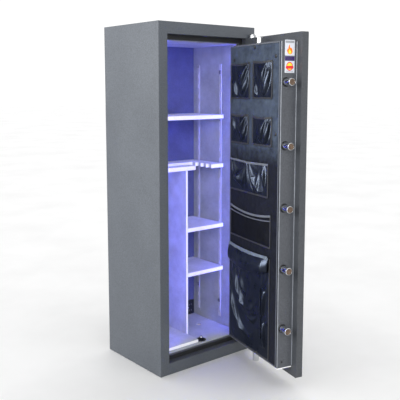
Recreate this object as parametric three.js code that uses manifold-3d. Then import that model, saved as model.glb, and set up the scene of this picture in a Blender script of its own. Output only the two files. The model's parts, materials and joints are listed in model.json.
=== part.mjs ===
// Long-gun safe with its door standing open: a folded steel body with a recessed
// door frame, fireboard and carpeted liners, adjustable shelves on slotted standards,
// and a door with live bolts, a spoke handle, a combination lock and a cloth organizer.
// Millimetres, +Z up. The origin is the middle of the body's underside. The front faces
// -Y and the hinges are on the +X side. Door pieces are written where they are when the
// door is shut, inside a group that turns them about the hinge pin.
import * as THREE from 'three';
import { mergeVertices } from 'three/addons/utils/BufferGeometryUtils.js';
import Module from 'manifold-3d';

const wasm = await Module();
wasm.setup();

// ---- driving dimensions -------------------------------------------------------------
const bodyWidth = 535;
const bodyDepth = 412;
const bodyHeight = 1500;
const shellSheet = 3;
const joint = 0.3; // gap left between pieces that touch

const stileWidth = 46; // front face beside the door
const railHeight = 50; // front face above and below the door
const ledgeDepth = 34; // how far the door recess goes in
const stepWidth = 21.5; // step that the door seal is stuck to
const jambSheet = 3;
const jambLip = 8; // return behind the step
const sealWidth = 17;
const sealThickness = 3.8;

const sideBuild = 40; // body side to liner face
const backBuild = 24;
const floorBuild = 75;
const ceilingBuild = 73;
const linerThickness = 6;
const linerFront = 98; // clear zone behind the frame, where the side bolts go

const shelfFront = 155; // from the front of the body
const shelfThickness = 19.5;
const shelfSideGap = 5;
const shelfShares = { // top faces, as shares of the height from floor to ceiling
  upper_shelf: 0.7633,
  barrel_rest: 0.5925,
  half_shelf_upper: 0.3794,
  half_shelf_lower: 0.2226,
};
const dividerThickness = 10.5;
const dividerOffset = 0; // from the middle of the body
const baseBoardFront = 60;
const baseBoardGap = 3; // to the divider
const baseBoardThickness = 15;

const standardWidth = 15;
const standardDepth = 3.5;
const standardPlaces = { front: 184, rear: 345 };
const standardInset = { floor: 40, ceiling: 87 };
const slotPitch = 50;
const slotSize = [5, 16];

const anchorHoleRadius = 15;
const anchorInset = { x: 124, front: 247 };

const doorOpenAngle = 76.5; // degrees, as the door stands here
const doorGap = 3;
const doorEdge = 29.5; // thickness of the door's folded edge
const doorSkin = 3;
const doorCornerRadius = 5;
const panInset = 34; // door edge to boltwork pan, on the bolt side and at the top
const panHingeInset = 22;
const panBottomInset = 42; // clears the base board when the door is shut
const panDepth = 71;
const panSheet = 2.5;

const pinForward = 17.5; // hinge pin in front of the body
const pinFromSide = 29; // hinge pin to the body's right side
const pinRadius = 7;
const knuckleRadius = 15.5;
const knuckleLength = 48;
const knuckleGap = 2;
const hingeLeaf = 5;
const hingeTopInset = 36; // body top to hinge top, and the same at the bottom

const boltRadius = 15;
const boltLength = 82;
const boltProud = 45; // past the pan when thrown
const boltCount = 5;
const endBoltInset = { bottom: 167, top: 159 }; // pan's end to the nearest side bolt
const boltFromPanFace = 21.5;
const boltHoleClearance = 1;
const topBoltProud = 24;
const bottomBoltProud = 43;
const verticalBoltRadius = 14;
const topBoltOffset = 18; // from the door's middle
const topRiserOffset = -48; // the flat rod's own line, clear of the lock
const bottomBoltOffset = 18;
const carriageBarSize = [6, 34];

const camRadius = 46;
const camThickness = 6;
const camPinRadius = 5.5;
const camPinCircle = 31;
const yokeClearance = 1.6;
const yokeRim = 4;
const yokeSheet = 4;
const layerGap = 3;
const handleRadius = 34;
const spokeLength = 96;
const spokeRadius = 7;
const knobRadius = 13;
const shaftRadius = 9.5;

const dialHeightAboveHandle = 190;
const dialRadius = 40;
const dialRingRadius = 50;
const lockCaseSize = [62, 28, 84];
const lockBoltSize = [20, 10, 30];

const panelThickness = 3.6;
const panelRim = 5;
const panelOverhang = 20;

// ---- derived places -----------------------------------------------------------------
const left = -bodyWidth / 2;
const right = bodyWidth / 2;
const front = -bodyDepth / 2;
const back = bodyDepth / 2;
const stepFace = front + ledgeDepth;
const stepBack = stepFace + jambSheet;
const frameLeft = left + stileWidth;
const frameRight = right - stileWidth;
const frameBottom = railHeight;
const frameTop = bodyHeight - railHeight;
const linerLeft = left + sideBuild;
const linerRight = right - sideBuild;
const linerBack = back - backBuild;
const floorTop = floorBuild;
const ceiling = bodyHeight - ceilingBuild;
const doorLeft = frameLeft + doorGap;
const doorRight = frameRight - doorGap;
const doorBottom = frameBottom + doorGap;
const doorTop = frameTop - doorGap;
const doorInner = front + doorEdge;
const doorMiddle = (doorLeft + doorRight) / 2;
const panLeft = doorLeft + panInset;
const panRight = doorRight - panHingeInset;
const panBottom = doorBottom + panBottomInset;
const panTop = doorTop - panInset;
const panFace = doorInner + panDepth;
const pinX = right - pinFromSide;
const pinY = front - pinForward;
const boltY = panFace - boltFromPanFace;
const shelfBack = linerBack - 2;
const shelfTop = (name) => floorTop + shelfShares[name] * (ceiling - floorTop);
const topBoltX = doorMiddle + topBoltOffset;
const bottomBoltX = doorMiddle + bottomBoltOffset;

// ---- geometry helpers ---------------------------------------------------------------
function block(x0, x1, y0, y1, z0, z1) {
  const geometry = new THREE.BoxGeometry(x1 - x0, y1 - y0, z1 - z0);
  return geometry.translate((x0 + x1) / 2, (y0 + y1) / 2, (z0 + z1) / 2);
}

function rod(radius, from, to, axis, u, v, segments = 24) {
  // A cylinder along an axis; u and v are its place on the two other axes in X, Y, Z order.
  const geometry = new THREE.CylinderGeometry(radius, radius, to - from, segments);
  const middle = (from + to) / 2;
  if (axis === 'x') return geometry.rotateZ(Math.PI / 2).translate(middle, u, v);
  if (axis === 'y') return geometry.translate(u, middle, v);
  return geometry.rotateX(Math.PI / 2).translate(u, v, middle);
}

function slab(outline, z0, z1) {
  const options = { depth: z1 - z0, bevelEnabled: false, curveSegments: 6 };
  return new THREE.ExtrudeGeometry(outline, options).translate(0, 0, z0);
}

function toSolid(geometry) {
  const bare = geometry.clone();
  bare.deleteAttribute('normal');
  bare.deleteAttribute('uv');
  const merged = mergeVertices(bare, 1e-4);
  const mesh = new wasm.Mesh({
    numProp: 3,
    vertProperties: new Float32Array(merged.attributes.position.array),
    triVerts: new Uint32Array(merged.index.array),
  });
  return new wasm.Manifold(mesh);
}

function toGeometry(solid) {
  const mesh = solid.getMesh();
  const geometry = new THREE.BufferGeometry();
  geometry.setAttribute('position', new THREE.BufferAttribute(mesh.vertProperties, 3));
  geometry.setIndex(new THREE.BufferAttribute(mesh.triVerts, 1));
  geometry.computeVertexNormals();
  return geometry;
}

function shaped(base, { add = [], cut = [] }) {
  let solid = toSolid(base);
  for (const piece of add) solid = solid.add(toSolid(piece));
  for (const piece of cut) solid = solid.subtract(toSolid(piece));
  return toGeometry(solid);
}

function roundedRect(x0, x1, y0, y1, radius) {
  const shape = new THREE.Shape();
  shape.moveTo(x0 + radius, y0);
  shape.lineTo(x1 - radius, y0);
  shape.absarc(x1 - radius, y0 + radius, radius, -Math.PI / 2, 0);
  shape.lineTo(x1, y1 - radius);
  shape.absarc(x1 - radius, y1 - radius, radius, 0, Math.PI / 2);
  shape.lineTo(x0 + radius, y1);
  shape.absarc(x0 + radius, y1 - radius, radius, Math.PI / 2, Math.PI);
  shape.lineTo(x0, y0 + radius);
  shape.absarc(x0 + radius, y0 + radius, radius, Math.PI, 1.5 * Math.PI);
  return shape;
}

// ---- materials ----------------------------------------------------------------------
function finish(color, roughness, metalness = 0) {
  return new THREE.MeshStandardMaterial({ color, roughness, metalness });
}

const materials = {
  bodyPaint: finish(0x63676a, 0.45, 0.3),
  framePaint: finish(0x5f6265, 0.5, 0.3),
  seal: finish(0x111214, 0.8),
  fireboard: finish(0xd8d4cb, 0.95),
  carpet: finish(0x7f8189, 1.0),
  standard: finish(0x9a9ca4, 0.45, 0.7),
  led: finish(0x5a50ff, 0.4),
  plastic: finish(0x17181c, 0.5),
  chrome: finish(0xd6d8da, 0.12, 1.0),
  hinge: finish(0xc9cbcc, 0.3, 0.9),
  steel: finish(0x8c8f92, 0.4, 0.9),
  velour: finish(0x4c505c, 0.95),
  satin: finish(0x16171f, 0.35),
  mesh: finish(0x2c2e33, 0.7),
  dial: finish(0x131415, 0.4),
};

const safe = new THREE.Group();
const doorPivot = new THREE.Group();
doorPivot.position.set(pinX, pinY, 0);
doorPivot.rotation.z = THREE.MathUtils.degToRad(doorOpenAngle);
const door = new THREE.Group();
door.position.set(-pinX, -pinY, 0);
doorPivot.add(door);
safe.add(doorPivot);

function part(name, geometry, material, parent = safe) {
  const mesh = new THREE.Mesh(geometry, materials[material]);
  mesh.name = name;
  parent.add(mesh);
}

// ---- body: folded steel, door frame, seal --------------------------------------------
function anchorHoles(z0, z1) {
  const xs = [left + anchorInset.x, right - anchorInset.x];
  return xs.map((x) => rod(anchorHoleRadius, z0, z1, 'z', x, front + anchorInset.front, 20));
}

part('body_shell', shaped(block(left, right, front, back, 0, bodyHeight), {
  cut: [
    block(left + shellSheet, right - shellSheet, front + shellSheet, back - shellSheet,
      shellSheet, bodyHeight - shellSheet),
    block(frameLeft, frameRight, front - 1, front + shellSheet + 1, frameBottom, frameTop),
    ...anchorHoles(-1, shellSheet + 1),
  ],
}), 'bodyPaint');

// A ring between two rectangles that share the frame's middle, grown or shrunk from its edge.
function frameRing(outerGrow, innerShrink, y0, y1) {
  const ring = (grow, a, b) => block(frameLeft - grow, frameRight + grow, a, b,
    frameBottom - grow, frameTop + grow);
  return shaped(ring(outerGrow, y0, y1), { cut: [ring(-innerShrink, y0 - 1, y1 + 1)] });
}

const jambFront = front + shellSheet + joint;
part('door_jamb', shaped(frameRing(jambSheet, 0, jambFront, stepBack), {
  add: [
    frameRing(jambSheet, stepWidth, stepFace, stepBack),
    frameRing(-stepWidth + jambSheet, stepWidth, stepFace, stepBack + jambLip),
  ],
}), 'framePaint');

const sealMargin = (stepWidth - sealWidth) / 2;
part('door_seal', frameRing(-sealMargin, sealMargin + sealWidth,
  stepFace - joint - sealThickness, stepFace - joint), 'seal');

// ---- fireboard and liners ------------------------------------------------------------
const behindFrame = stepBack + jambLip + 1;
const shellInside = shellSheet + joint;
const linerStart = front + linerFront;
const linerBackOuter = linerBack + linerThickness;
const floorUnder = floorTop - linerThickness;
const ceilingOver = ceiling + linerThickness;

const passageRadius = verticalBoltRadius + 6;
const boltPassage = (x, z0, z1) => rod(passageRadius, z0, z1, 'z', x, boltY, 24);

const backBoardFront = linerBackOuter + joint;
part('fireboard_back', block(left + shellInside, right - shellInside, backBoardFront,
  back - shellInside, shellInside, bodyHeight - shellInside), 'fireboard');
for (const [side, x0, x1] of [
  ['left', left + shellInside, linerLeft - linerThickness - joint],
  ['right', linerRight + linerThickness + joint, right - shellInside],
]) {
  part(`fireboard_${side}`, block(x0, x1, linerStart, backBoardFront - joint,
    shellInside, bodyHeight - shellInside), 'fireboard');
}
const betweenBoards = [linerLeft - linerThickness, linerRight + linerThickness];
part('fireboard_bottom', shaped(block(...betweenBoards, behindFrame, backBoardFront - joint,
  shellInside, floorUnder - joint), {
  cut: [...anchorHoles(0, floorTop), boltPassage(bottomBoltX, 0, floorTop)],
}), 'fireboard');
part('fireboard_top', shaped(block(...betweenBoards, behindFrame, backBoardFront - joint,
  ceilingOver + joint, bodyHeight - shellInside), {
  cut: [boltPassage(topBoltX, ceiling, bodyHeight)],
}), 'fireboard');

part('liner_back', block(...betweenBoards, linerBack, linerBackOuter, floorUnder, ceilingOver),
  'carpet');
part('liner_left', block(linerLeft - linerThickness, linerLeft, linerStart, linerBack - joint,
  floorUnder, ceilingOver), 'carpet');
part('liner_right', block(linerRight, linerRight + linerThickness, linerStart,
  linerBack - joint, floorUnder, ceilingOver), 'carpet');
const insideLiners = [linerLeft + joint, linerRight - joint];
const floorPlate = [...insideLiners, behindFrame, linerBack - joint];
part('floor_board', shaped(block(...floorPlate, floorUnder, floorTop), {
  cut: [...anchorHoles(0, floorTop + 1), boltPassage(bottomBoltX, 0, floorTop + 1)],
}), 'carpet');
part('ceiling_board', shaped(block(...floorPlate, ceiling, ceilingOver), {
  cut: [boltPassage(topBoltX, ceiling - 1, bodyHeight)],
}), 'carpet');

// ---- shelf standards, shelves, divider -------------------------------------------------
function standard(x0, x1, place) {
  const y0 = front + place - standardWidth / 2;
  const middle = front + place;
  const z0 = floorTop + standardInset.floor;
  const z1 = ceiling - standardInset.ceiling;
  const [slotWidth, slotHeight] = slotSize;
  const slots = [];
  for (let z = z0 + slotPitch / 2; z < z1 - slotHeight; z += slotPitch) {
    slots.push(block(x0 - 1, x1 + 1, middle - slotWidth / 2, middle + slotWidth / 2,
      z - slotHeight / 2, z + slotHeight / 2));
  }
  const bar = block(x0, x1, y0, y0 + standardWidth, z0, z1);
  return shaped(bar, { cut: slots });
}

for (const [end, place] of Object.entries(standardPlaces)) {
  part(`standard_left_${end}`, standard(linerLeft + joint, linerLeft + standardDepth, place),
    'standard');
  part(`standard_right_${end}`, standard(linerRight - standardDepth, linerRight - joint, place),
    'standard');
}

const shelfLeft = linerLeft + shelfSideGap;
const shelfRight = linerRight - shelfSideGap;
const shelfY = [front + shelfFront, shelfBack];
const dividerX = [dividerOffset - dividerThickness / 2, dividerOffset + dividerThickness / 2];
const restTop = shelfTop('barrel_rest');
const restUnder = restTop - shelfThickness;

part('upper_shelf', block(shelfLeft, shelfRight, ...shelfY,
  shelfTop('upper_shelf') - shelfThickness, shelfTop('upper_shelf')), 'carpet');

// The barrel rest is a shelf with a bay cut in from the front; rounded notches along its
// right side and its front arm each take a barrel.
const shelfWidth = shelfRight - shelfLeft;
const armTip = shelfLeft + 0.625 * shelfWidth;
const armDepth = 58;
const bayBack = front + shelfFront + 140;
const bayLeft = shelfLeft + 0.27 * shelfWidth;
const fingerTips = shelfRight - 0.175 * shelfWidth;
const notchRadius = 16;

function restOutline() {
  const y0 = shelfY[0];
  const corner = 8;
  const shape = new THREE.Shape();
  shape.moveTo(shelfLeft, y0);
  for (const x of [shelfLeft + 40, shelfLeft + 100]) {
    shape.lineTo(x - notchRadius, y0);
    shape.absarc(x, y0, notchRadius, Math.PI, 0, true);
  }
  shape.lineTo(armTip - corner, y0);
  shape.absarc(armTip - corner, y0 + corner, corner, -Math.PI / 2, 0);
  shape.lineTo(armTip, y0 + armDepth - corner);
  shape.absarc(armTip - corner, y0 + armDepth - corner, corner, 0, Math.PI / 2);
  shape.lineTo(bayLeft, y0 + armDepth);
  shape.lineTo(bayLeft, bayBack);
  shape.lineTo(fingerTips, bayBack);
  for (const y of [y0 + 102, y0 + 62, y0 + 22]) {
    shape.lineTo(fingerTips, y + notchRadius);
    shape.absarc(fingerTips, y, notchRadius, Math.PI / 2, -Math.PI / 2, true);
  }
  shape.lineTo(fingerTips, y0);
  shape.lineTo(shelfRight, y0);
  shape.lineTo(shelfRight, shelfBack);
  shape.lineTo(shelfLeft, shelfBack);
  return shape;
}
part('barrel_rest', slab(restOutline(), restUnder, restTop), 'carpet');

part('divider', block(...dividerX, ...shelfY, floorTop + joint, restUnder - joint), 'carpet');
for (const name of ['half_shelf_upper', 'half_shelf_lower']) {
  part(name, block(dividerX[1] + joint, shelfRight, ...shelfY, shelfTop(name) - shelfThickness,
    shelfTop(name)), 'carpet');
}
part('base_board', slab(roundedRect(shelfLeft, dividerX[0] - baseBoardGap, front + baseBoardFront,
  shelfBack, 7), floorTop + joint, floorTop + baseBoardThickness), 'carpet');

// ---- light strips, outlet, bottom strike ----------------------------------------------
const stripWidth = 9;
const stripThickness = 5;
const stripY = [stepBack + joint, stepBack + joint + stripThickness];
const stripZ = [floorTop + 25, ceiling - 25];
part('light_strip_left', block(frameLeft + 3, frameLeft + 3 + stripWidth, ...stripY, ...stripZ),
  'led');
part('light_strip_right', block(frameRight - 3 - stripWidth, frameRight - 3, ...stripY,
  ...stripZ), 'led');
const outletSize = [52, 14, 70];
const outletRight = linerRight - 10;
part('power_outlet', block(outletRight - outletSize[0], outletRight, linerBack - joint
  - outletSize[1], linerBack - joint, floorTop + 6, floorTop + 6 + outletSize[2]), 'plastic');

const strikeLip = 5;
const strikeOuter = passageRadius - joint;
const strikeInner = verticalBoltRadius + 2;
const strikePlate = rod(strikeOuter + strikeLip, floorTop + joint, floorTop + 3, 'z',
  bottomBoltX, boltY, 24);
part('bottom_strike', shaped(strikePlate, {
  add: [rod(strikeOuter, floorTop - 30, floorTop + 1, 'z', bottomBoltX, boltY, 24)],
  cut: [rod(strikeInner, floorTop - 31, floorTop + 4, 'z', bottomBoltX, boltY, 24)],
}), 'plastic');

// ---- hinges ---------------------------------------------------------------------------
// Each hinge has a lower knuckle welded to the body, an upper one welded to the door, and
// a loose pin, so the door lifts off.
const knuckleBore = pinRadius + 0.3;
const hingeHeight = 2 * knuckleLength + knuckleGap;
const hingeBottoms = {
  upper: bodyHeight - hingeTopInset - hingeHeight,
  lower: hingeTopInset,
};
const leafFront = front - joint - hingeLeaf;

function knuckle(z0, leaf) {
  const z1 = z0 + knuckleLength;
  return shaped(rod(knuckleRadius, z0, z1, 'z', pinX, pinY, 32), {
    add: [leaf],
    cut: [rod(knuckleBore, z0 - 1, z1 + 1, 'z', pinX, pinY, 32)],
  });
}

for (const [end, z0] of Object.entries(hingeBottoms)) {
  const doorZ = z0 + knuckleLength + knuckleGap;
  const bodyLeaf = block(pinX + 2, right - 4, leafFront, front - joint, z0 + 3,
    z0 + knuckleLength - 3);
  const leafTop = Math.min(doorZ + knuckleLength - 3, doorTop - 3);
  const doorLeaf = block(doorRight - 40, pinX - 2, leafFront, front - joint, doorZ + 3, leafTop);
  part(`hinge_body_knuckle_${end}`, knuckle(z0, bodyLeaf), 'hinge');
  part(`hinge_door_knuckle_${end}`, knuckle(doorZ, doorLeaf), 'hinge', door);
  const pinTop = doorZ + knuckleLength;
  part(`hinge_pin_${end}`, shaped(rod(pinRadius, z0 + 1, pinTop + 2, 'z', pinX, pinY, 24), {
    add: [rod(pinRadius + 4, pinTop + 1, pinTop + 5, 'z', pinX, pinY, 24)],
  }), 'steel');
}

// ---- door: plate, fireboard, boltwork pan ----------------------------------------------
const boltPitch = (panTop - panBottom - endBoltInset.bottom - endBoltInset.top)
  / (boltCount - 1);
const boltHeights = Array.from({ length: boltCount }, (_, i) => (
  panBottom + endBoltInset.bottom + i * boltPitch));
const handleZ = boltHeights[(boltCount - 1) / 2];
const dialZ = handleZ + dialHeightAboveHandle;
const handleHole = (radius, y0, y1) => rod(radius, y0, y1, 'y', doorMiddle, handleZ, 24);
const dialHole = (radius, y0, y1) => rod(radius, y0, y1, 'y', doorMiddle, dialZ, 24);
const throughDoor = [front - 1, doorInner + 1];

const plateOutline = roundedRect(doorLeft, doorRight, doorBottom, doorTop, doorCornerRadius);
const plateBlank = slab(plateOutline, 0, doorEdge).rotateX(Math.PI / 2)
  .translate(0, front + doorEdge, 0);
part('door_plate', shaped(plateBlank, {
  cut: [
    block(doorLeft + doorSkin, doorRight - doorSkin, front + doorSkin, doorInner - doorSkin,
      doorBottom + doorSkin, doorTop - doorSkin),
    block(panLeft + 6, panRight - 6, front + doorSkin, doorInner + 1, panBottom + 6, panTop - 6),
    handleHole(shaftRadius + 1, ...throughDoor),
    dialHole(7, ...throughDoor),
  ],
}), 'framePaint', door);
part('door_fireboard', shaped(block(doorLeft + doorSkin + joint, doorRight - doorSkin - joint,
  front + doorSkin + joint, doorInner - doorSkin - joint, doorBottom + doorSkin + joint,
  doorTop - doorSkin - joint), {
  cut: [handleHole(shaftRadius + 2, ...throughDoor), dialHole(8, ...throughDoor)],
}), 'fireboard', door);

const panFront = doorInner + joint;
part('boltwork_pan', shaped(block(panLeft, panRight, panFront, panFace, panBottom, panTop), {
  cut: [
    block(panLeft + panSheet, panRight - panSheet, panFront - 1, panFace - panSheet,
      panBottom + panSheet, panTop - panSheet),
    ...boltHeights.map((z) => rod(boltRadius + boltHoleClearance, panLeft - 1,
      panLeft + panSheet + 1, 'x', boltY, z, 24)),
    rod(verticalBoltRadius + boltHoleClearance, panTop - panSheet - 1, panTop + 1, 'z',
      topBoltX, boltY, 24),
    rod(verticalBoltRadius + boltHoleClearance, panBottom - 1, panBottom + panSheet + 1, 'z',
      bottomBoltX, boltY, 24),
  ],
}), 'framePaint', door);

// ---- boltwork ---------------------------------------------------------------------------
const boltTip = panLeft - boltProud;
const boltTail = boltTip + boltLength;
boltHeights.forEach((z, i) => {
  const cap = new THREE.LatheGeometry([
    new THREE.Vector2(0, 0),
    new THREE.Vector2(boltRadius - 2, 0),
    new THREE.Vector2(boltRadius, 2),
    new THREE.Vector2(boltRadius, boltLength),
    new THREE.Vector2(0, boltLength),
  ], 28).rotateZ(-Math.PI / 2).translate(boltTip, boltY, z);
  part(`side_bolt_${i + 1}`, cap, 'chrome', door);
});

const camFrontY = boltY - camThickness / 2 + 4;
const rodLayer = [camFrontY - layerGap - yokeSheet, camFrontY - layerGap];
const carriageLayer = [rodLayer[0] - layerGap - yokeSheet, rodLayer[0] - layerGap];
const pinOffset = camPinCircle * Math.SQRT1_2;
const slotHalf = camPinRadius + yokeClearance;

// Carriage: a bar behind the side bolts, an arm to a yoke with an upright slot under the
// cam's middle, and a stop block that the lock bolt blocks.
const [barThickness, barWidth] = carriageBarSize;
const barX = [boltTail + joint, boltTail + joint + barThickness];
const barZ = [boltHeights[0] - 24, boltHeights[boltCount - 1] + 24];
const yokeX = doorMiddle - pinOffset;
const yokeZ = [handleZ - camPinCircle - slotHalf, handleZ - pinOffset + slotHalf];
const caseBottom = dialZ - lockCaseSize[2] / 2;
const stopZ = [caseBottom - 26, caseBottom - 6];
const stopX = [doorMiddle - lockBoltSize[0] / 2 - 16, doorMiddle - lockBoltSize[0] / 2 - 3];
part('bolt_carriage', shaped(
  block(...barX, boltY - barWidth / 2, boltY + barWidth / 2, ...barZ), {
    add: [
      block(barX[1] - 1, yokeX + slotHalf + yokeRim, ...carriageLayer,
        yokeZ[0] - yokeRim, yokeZ[1] + yokeRim),
      block(barX[1] - 1, stopX[1], ...carriageLayer, stopZ[0] - 12, stopZ[0]),
      block(...stopX, ...carriageLayer, stopZ[0] - 1, stopZ[1]),
    ],
    cut: [block(yokeX - slotHalf, yokeX + slotHalf, carriageLayer[0] - 1, carriageLayer[1] + 1,
      ...yokeZ)],
  }), 'steel', door);

// Top and bottom bolts: a short round bolt on a flat rod that ends in a yoke with a level
// slot beside the cam's middle.
function rodYoke(side) {
  const reach = camPinCircle + slotHalf;
  const inner = pinOffset - slotHalf;
  const z = handleZ - side * pinOffset;
  const x0 = Math.min(side * inner, side * reach);
  const x1 = Math.max(side * inner, side * reach);
  const plate = block(doorMiddle + x0 - yokeRim, doorMiddle + x1 + yokeRim, ...rodLayer,
    z - slotHalf - yokeRim, z + slotHalf + yokeRim);
  const slot = block(doorMiddle + x0, doorMiddle + x1, rodLayer[0] - 1, rodLayer[1] + 1,
    z - slotHalf, z + slotHalf);
  return { plate, slot, z };
}

const flatRod = 12;
const boltInside = 36; // round part left inside the pan when thrown
const rodOverlap = 10;
const rodFoot = 8;
const topYoke = rodYoke(-1);
const topTail = panTop - boltInside;
const topRodX = [topBoltX - flatRod / 2, topBoltX + flatRod / 2];
const riserX = doorMiddle + topRiserOffset - flatRod / 2;
const bridgeZ = topTail - 20;
part('top_bolt', shaped(
  rod(verticalBoltRadius, topTail, panTop + topBoltProud, 'z', topBoltX, boltY, 28), {
    add: [
      block(riserX, riserX + flatRod, ...rodLayer, topYoke.z, bridgeZ + 1),
      block(riserX, topRodX[1], ...rodLayer, bridgeZ, bridgeZ + flatRod),
      block(...topRodX, ...rodLayer, bridgeZ, topTail + rodOverlap),
      block(...topRodX, rodLayer[0], boltY, topTail - rodFoot, topTail + rodOverlap),
      topYoke.plate,
    ],
    cut: [topYoke.slot],
  }), 'chrome', door);

const bottomYoke = rodYoke(1);
const bottomTail = panBottom + boltInside;
const bottomRodX = [bottomBoltX - flatRod / 2, bottomBoltX + flatRod / 2];
const jogZ = handleZ - 130;
const farX = doorMiddle + camPinCircle + slotHalf + yokeRim;
part('bottom_bolt', shaped(
  rod(verticalBoltRadius, panBottom - bottomBoltProud, bottomTail, 'z', bottomBoltX, boltY, 28), {
    add: [
      block(...bottomRodX, ...rodLayer, bottomTail - rodOverlap, jogZ),
      block(...bottomRodX, rodLayer[0], boltY, bottomTail - rodOverlap, bottomTail + rodFoot),
      block(bottomRodX[0], farX, ...rodLayer, jogZ - flatRod, jogZ),
      block(farX - flatRod, farX, ...rodLayer, jogZ - 1, bottomYoke.z),
      bottomYoke.plate,
    ],
    cut: [bottomYoke.slot],
  }), 'chrome', door);

// Cam with three pins: lower left drives the carriage, upper left the top bolt, lower
// right the bottom bolt.
const camPin = (dx, dz, y0) => rod(camPinRadius, y0, camFrontY + 1, 'y', doorMiddle + dx,
  handleZ + dz, 16);
part('handle_cam', shaped(rod(camRadius, camFrontY, camFrontY + camThickness, 'y', doorMiddle,
  handleZ, 40), {
  add: [
    camPin(-pinOffset, -pinOffset, carriageLayer[0] - 1),
    camPin(-pinOffset, pinOffset, rodLayer[0] - 1),
    camPin(pinOffset, -pinOffset, rodLayer[0] - 1),
  ],
}), 'steel', door);

// ---- handle, dial and lock ---------------------------------------------------------------
const spokeY = front - knobRadius - 4;
part('handle_shaft', rod(shaftRadius, front - 4, camFrontY - joint, 'y', doorMiddle, handleZ,
  24), 'steel', door);

const hubProfile = [
  [0, 0], [handleRadius, 0], [handleRadius, 5], [handleRadius - 8, 12], [handleRadius - 12, 20],
  [0, 22],
].map(([x, y]) => new THREE.Vector2(x, y));
const hub = new THREE.LatheGeometry(hubProfile, 32).rotateX(Math.PI)
  .translate(doorMiddle, front - 4 - joint, handleZ);
const spokes = [];
for (let i = 0; i < 3; i += 1) {
  const angle = Math.PI / 2 + (i * 2 * Math.PI) / 3;
  const spoke = new THREE.CylinderGeometry(spokeRadius, spokeRadius, spokeLength, 16)
    .rotateZ(-Math.PI / 2).translate(spokeLength / 2, 0, 0);
  const knob = new THREE.SphereGeometry(knobRadius, 20, 12).translate(spokeLength, 0, 0);
  for (const geometry of [spoke, knob]) {
    geometry.rotateX(Math.PI / 2).rotateY(-angle);
    spokes.push(geometry.translate(doorMiddle, spokeY, handleZ));
  }
}
part('spoke_handle', shaped(hub, { add: spokes }), 'chrome', door);

const ringProfile = [
  [10, 0], [dialRingRadius, 0], [dialRingRadius, 4], [dialRingRadius - 5, 9],
  [dialRadius + 1, 9], [dialRadius + 1, 5], [10, 5], [10, 0],
].map(([x, y]) => new THREE.Vector2(x, y));
part('dial_ring', new THREE.LatheGeometry(ringProfile, 40).rotateX(Math.PI)
  .translate(doorMiddle, front - joint, dialZ), 'chrome', door);

const lockY = [boltY - 8 - lockCaseSize[1], boltY - 8];
const dialProfile = [
  [0, 0], [dialRadius, 0], [dialRadius, 3], [dialRadius - 8, 8], [20, 9], [18, 24], [15, 27],
  [0, 27],
].map(([x, y]) => new THREE.Vector2(x, y));
const dialFace = new THREE.LatheGeometry(dialProfile, 40).rotateX(Math.PI)
  .translate(doorMiddle, front - 5 - 2 * joint, dialZ);
part('combination_dial', shaped(dialFace, {
  add: [rod(4, front - 8, lockY[0] + 6, 'y', doorMiddle, dialZ, 16)],
}), 'dial', door);

const halfCase = lockCaseSize[0] / 2;
const lockBoltZ = [caseBottom + 1, caseBottom + 1 + lockBoltSize[2]];
const lockBoltY = [carriageLayer[0] - 3, carriageLayer[0] - 3 + lockBoltSize[1]];
const lockBoltX = [doorMiddle - lockBoltSize[0] / 2, doorMiddle + lockBoltSize[0] / 2];
part('lock_case', shaped(block(doorMiddle - halfCase, doorMiddle + halfCase, ...lockY,
  caseBottom, dialZ + lockCaseSize[2] / 2), {
  cut: [
    dialHole(6, lockY[0] - 1, lockY[0] + 8),
    block(lockBoltX[0] - 0.5, lockBoltX[1] + 0.5, lockBoltY[0] - 0.5, lockBoltY[1] + 0.5,
      caseBottom - 1, lockBoltZ[1] + 3),
  ],
}), 'steel', door);
part('lock_bolt', block(...lockBoltX, ...lockBoltY, ...lockBoltZ), 'steel', door);

// ---- cloth organizer -----------------------------------------------------------------------
const panelX = [panLeft + panelRim, panRight + panelOverhang];
const panelZ = [panBottom + 4, panTop - 4];
const panelY = [panFace + joint, panFace + joint + panelThickness];
part('organizer_panel', block(...panelX, ...panelY, ...panelZ), 'velour', door);

// name: shares of the panel's width from the bolt side, then of its height from the bottom,
// then the depth and the cloth
const pockets = {
  pocket_top_bolt_side: [0.135, 0.504, 0.833, 0.945, 24, 'satin'],
  pocket_top_hinge_side: [0.582, 0.978, 0.831, 0.943, 24, 'satin'],
  pocket_second_bolt_side: [0.135, 0.504, 0.687, 0.774, 24, 'satin'],
  pocket_second_hinge_side: [0.598, 0.978, 0.685, 0.777, 24, 'satin'],
  pocket_wide: [0.194, 0.984, 0.527, 0.629, 26, 'satin'],
  pocket_mesh: [0.135, 0.973, 0.37, 0.471, 12, 'mesh'],
  pocket_bag: [0.14, 0.984, 0.006, 0.335, 34, 'satin'],
};
const across = (share) => panelX[0] + share * (panelX[1] - panelX[0]);
const up = (share) => panelZ[0] + share * (panelZ[1] - panelZ[0]);
for (const [name, [x0, x1, z0, z1, depth, material]] of Object.entries(pockets)) {
  part(name, block(across(x0), across(x1), panelY[1] + joint, panelY[1] + joint + depth,
    up(z0), up(z1)), material, door);
}

export default safe;
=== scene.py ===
import json
import math
import random

import bpy
from mathutils import Matrix, Vector
from mathutils.noise import noise as wander


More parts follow.
